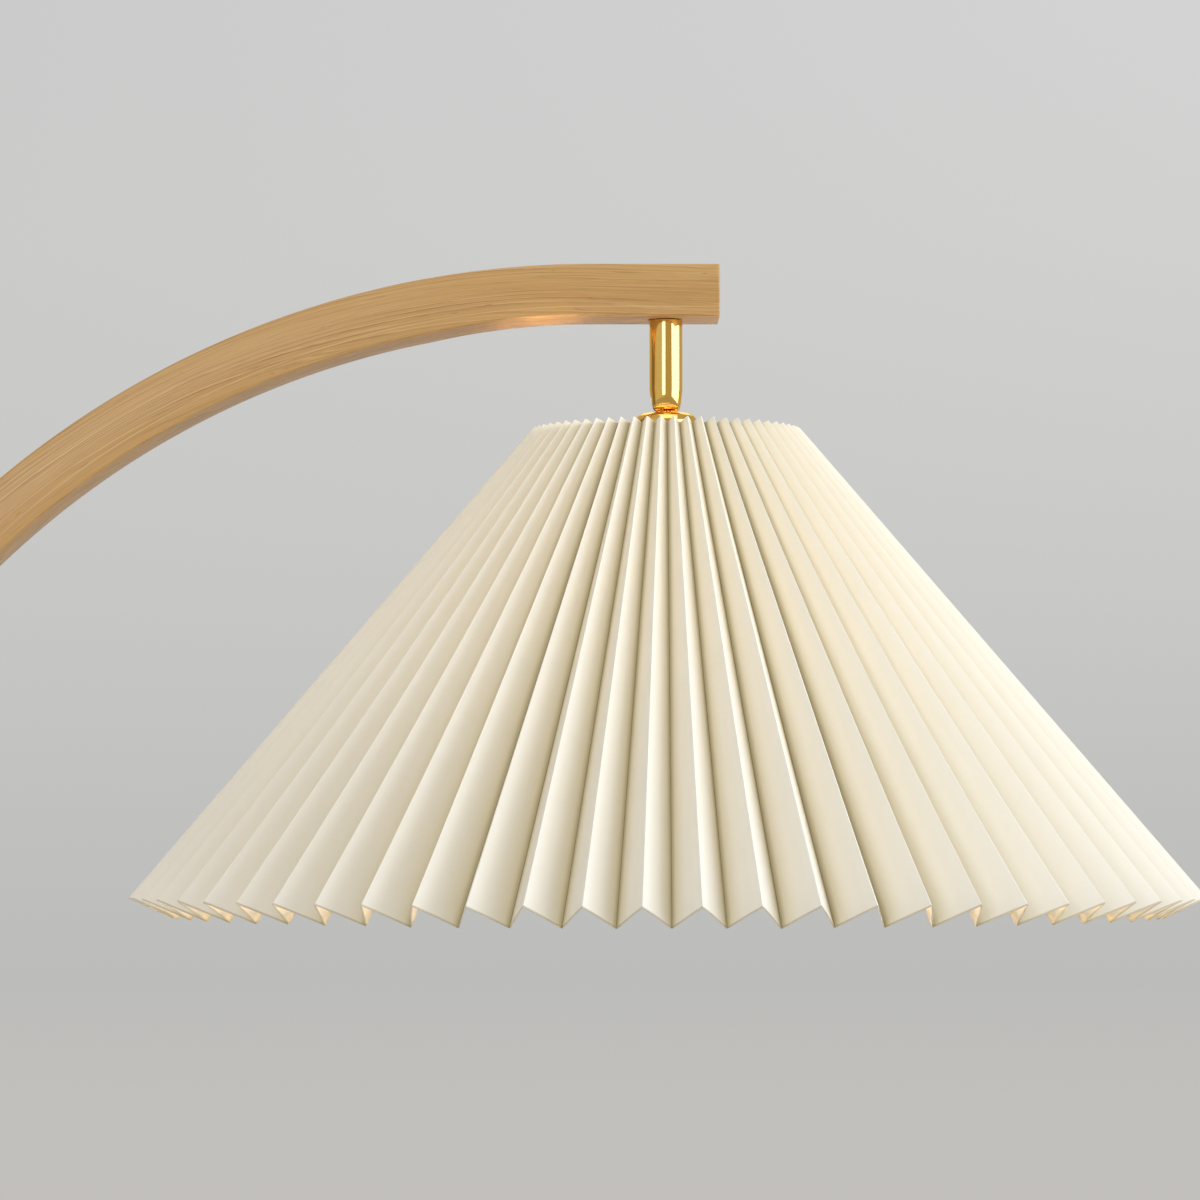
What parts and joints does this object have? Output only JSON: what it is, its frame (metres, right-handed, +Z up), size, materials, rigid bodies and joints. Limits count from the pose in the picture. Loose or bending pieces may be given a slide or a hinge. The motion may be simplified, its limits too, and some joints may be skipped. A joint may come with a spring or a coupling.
{
  "type": "arc floor lamp",
  "caption": "Arc floor lamp: bent laminated wood stem on a round base, brass ball swivel under the arm, wire-framed pleated fabric shade.",
  "frame": {"origin": "centre of the foot pad's underside, on the floor", "axes": "+Z up, +X from the stem towards the free end of the arm; the stem and arm lie in the XZ plane"},
  "size_m": [0.6405, 0.4496, 1.5],
  "materials": {
    "oiled_wood": "laminated light wood, satin oil",
    "polished_brass": "polished, lacquered",
    "plated_steel": "zinc plated",
    "weight_iron": "black paint over casting skin",
    "pleated_fabric": "ivory cotton, pleated, matt",
    "white_wire": "white powder coat",
    "steatite": "unglazed",
    "black_plastic": "moulded thermoset",
    "pad_foam": "soft closed-cell foam",
    "flex_sheath": "PVC sheath",
    "lead_brown": "PVC insulation",
    "lead_blue": "PVC insulation",
    "nickel": "nickel plated",
    "bulb_plastic": "moulded polycarbonate",
    "opal_glass": "opal"
  },
  "bodies": {
    "stand": {"foot_pad": "pad_foam", "base_weight": "weight_iron", "base_disc": "oiled_wood", "cord_gland": "black_plastic", "stem_collar": "polished_brass", "collar_screw_rear": "polished_brass", "collar_screw_front": "polished_brass", "stem_bolt_left": "plated_steel", "stem_bolt_right": "plated_steel", "bolt_washer_left": "plated_steel", "bolt_washer_right": "plated_steel", "stem_insert_left": "plated_steel", "stem_insert_right": "plated_steel", "arc_stem": "oiled_wood", "channel_cover": "oiled_wood", "stem_flex": "flex_sheath", "tip_insert": "polished_brass", "swivel_nipple": "polished_brass", "nipple_nut": "polished_brass", "swivel_washer": "plated_steel"},
    "swivel": {"swivel_barrel": "polished_brass", "barrel_bushing": "polished_brass", "swivel_spring": "plated_steel", "ball_seat": "black_plastic", "swivel_flex": "flex_sheath"},
    "head": {"swivel_ball": "polished_brass", "head_flex": "flex_sheath", "cup_nut": "plated_steel", "socket_cup": "polished_brass", "socket_core": "steatite", "centre_contact": "polished_brass", "terminal_screw_live": "polished_brass", "terminal_screw_neutral": "polished_brass", "lead_live": "lead_brown", "lead_neutral": "lead_blue", "screw_shell": "nickel", "socket_sleeve": "black_plastic", "shade_ring_upper": "black_plastic", "shade_ring_lower": "black_plastic", "top_ring": "white_wire", "bottom_ring": "white_wire", "shade_fitter": "white_wire", "shade_pleats": "pleated_fabric", "shade_rib_1": "white_wire", "shade_rib_2": "white_wire", "shade_rib_3": "white_wire", "shade_rib_4": "white_wire", "shade_rib_5": "white_wire", "shade_rib_6": "white_wire", "spider_arm_1": "white_wire", "spider_arm_2": "white_wire", "spider_arm_3": "white_wire"},
    "bulb": {"bulb_contact": "nickel", "bulb_screw_cap": "nickel", "bulb_housing": "bulb_plastic", "bulb_globe": "opal_glass"}
  },
  "joints": [
    {"name": "head_swivel", "type": "hinge", "parent": "stand", "child": "swivel", "pos_m": [0.2, 0, 1.4474], "axis": [0, 0, 1], "range_deg": [-170, 170]},
    {"name": "shade_tilt", "type": "hinge", "parent": "swivel", "child": "head", "pos_m": [0.2, 0, 1.4474], "axis": [0, 1, 0], "range_deg": [-5, 25]},
    {"name": "bulb_unscrew", "type": "slide", "parent": "head", "child": "bulb", "axis": [0, 0, -1], "range_m": [0, 0.024]}
  ]
}
